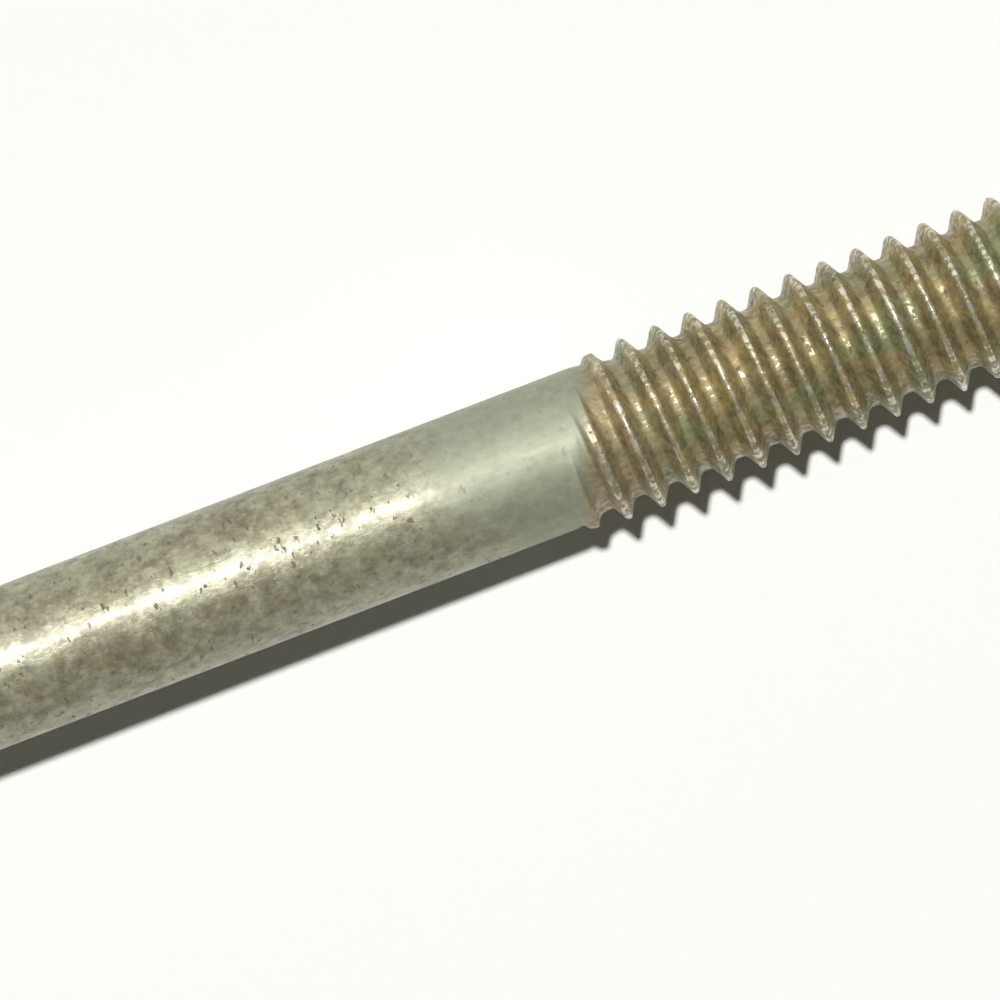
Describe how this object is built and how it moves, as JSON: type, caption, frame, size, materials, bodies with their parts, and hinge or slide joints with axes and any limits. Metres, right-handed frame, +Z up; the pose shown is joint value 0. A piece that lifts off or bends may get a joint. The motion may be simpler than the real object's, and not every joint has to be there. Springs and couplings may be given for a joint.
{
  "type": "bed screw",
  "caption": "Long bed screw: plain hexagon head, slim smooth shank and a short rolled machine thread at the end, for pulling a bed rail to its post.",
  "frame": {"origin": "centre of the bearing face under the head, on the screw's axis", "axes": "+X towards the point, dipping 1.42 degrees below the horizontal because the screw lies on its head and its thread; +Z up; +Y level and across the screw"},
  "size_m": [0.1058, 0.0128, 0.0113],
  "materials": {
    "plated_steel": "yellow zinc plate over drawn steel, dull and stained along the shank, with a brown and iridescent film on the thread"
  },
  "bodies": {
    "root": {"bed_screw": "plated_steel"}
  },
  "joints": []
}
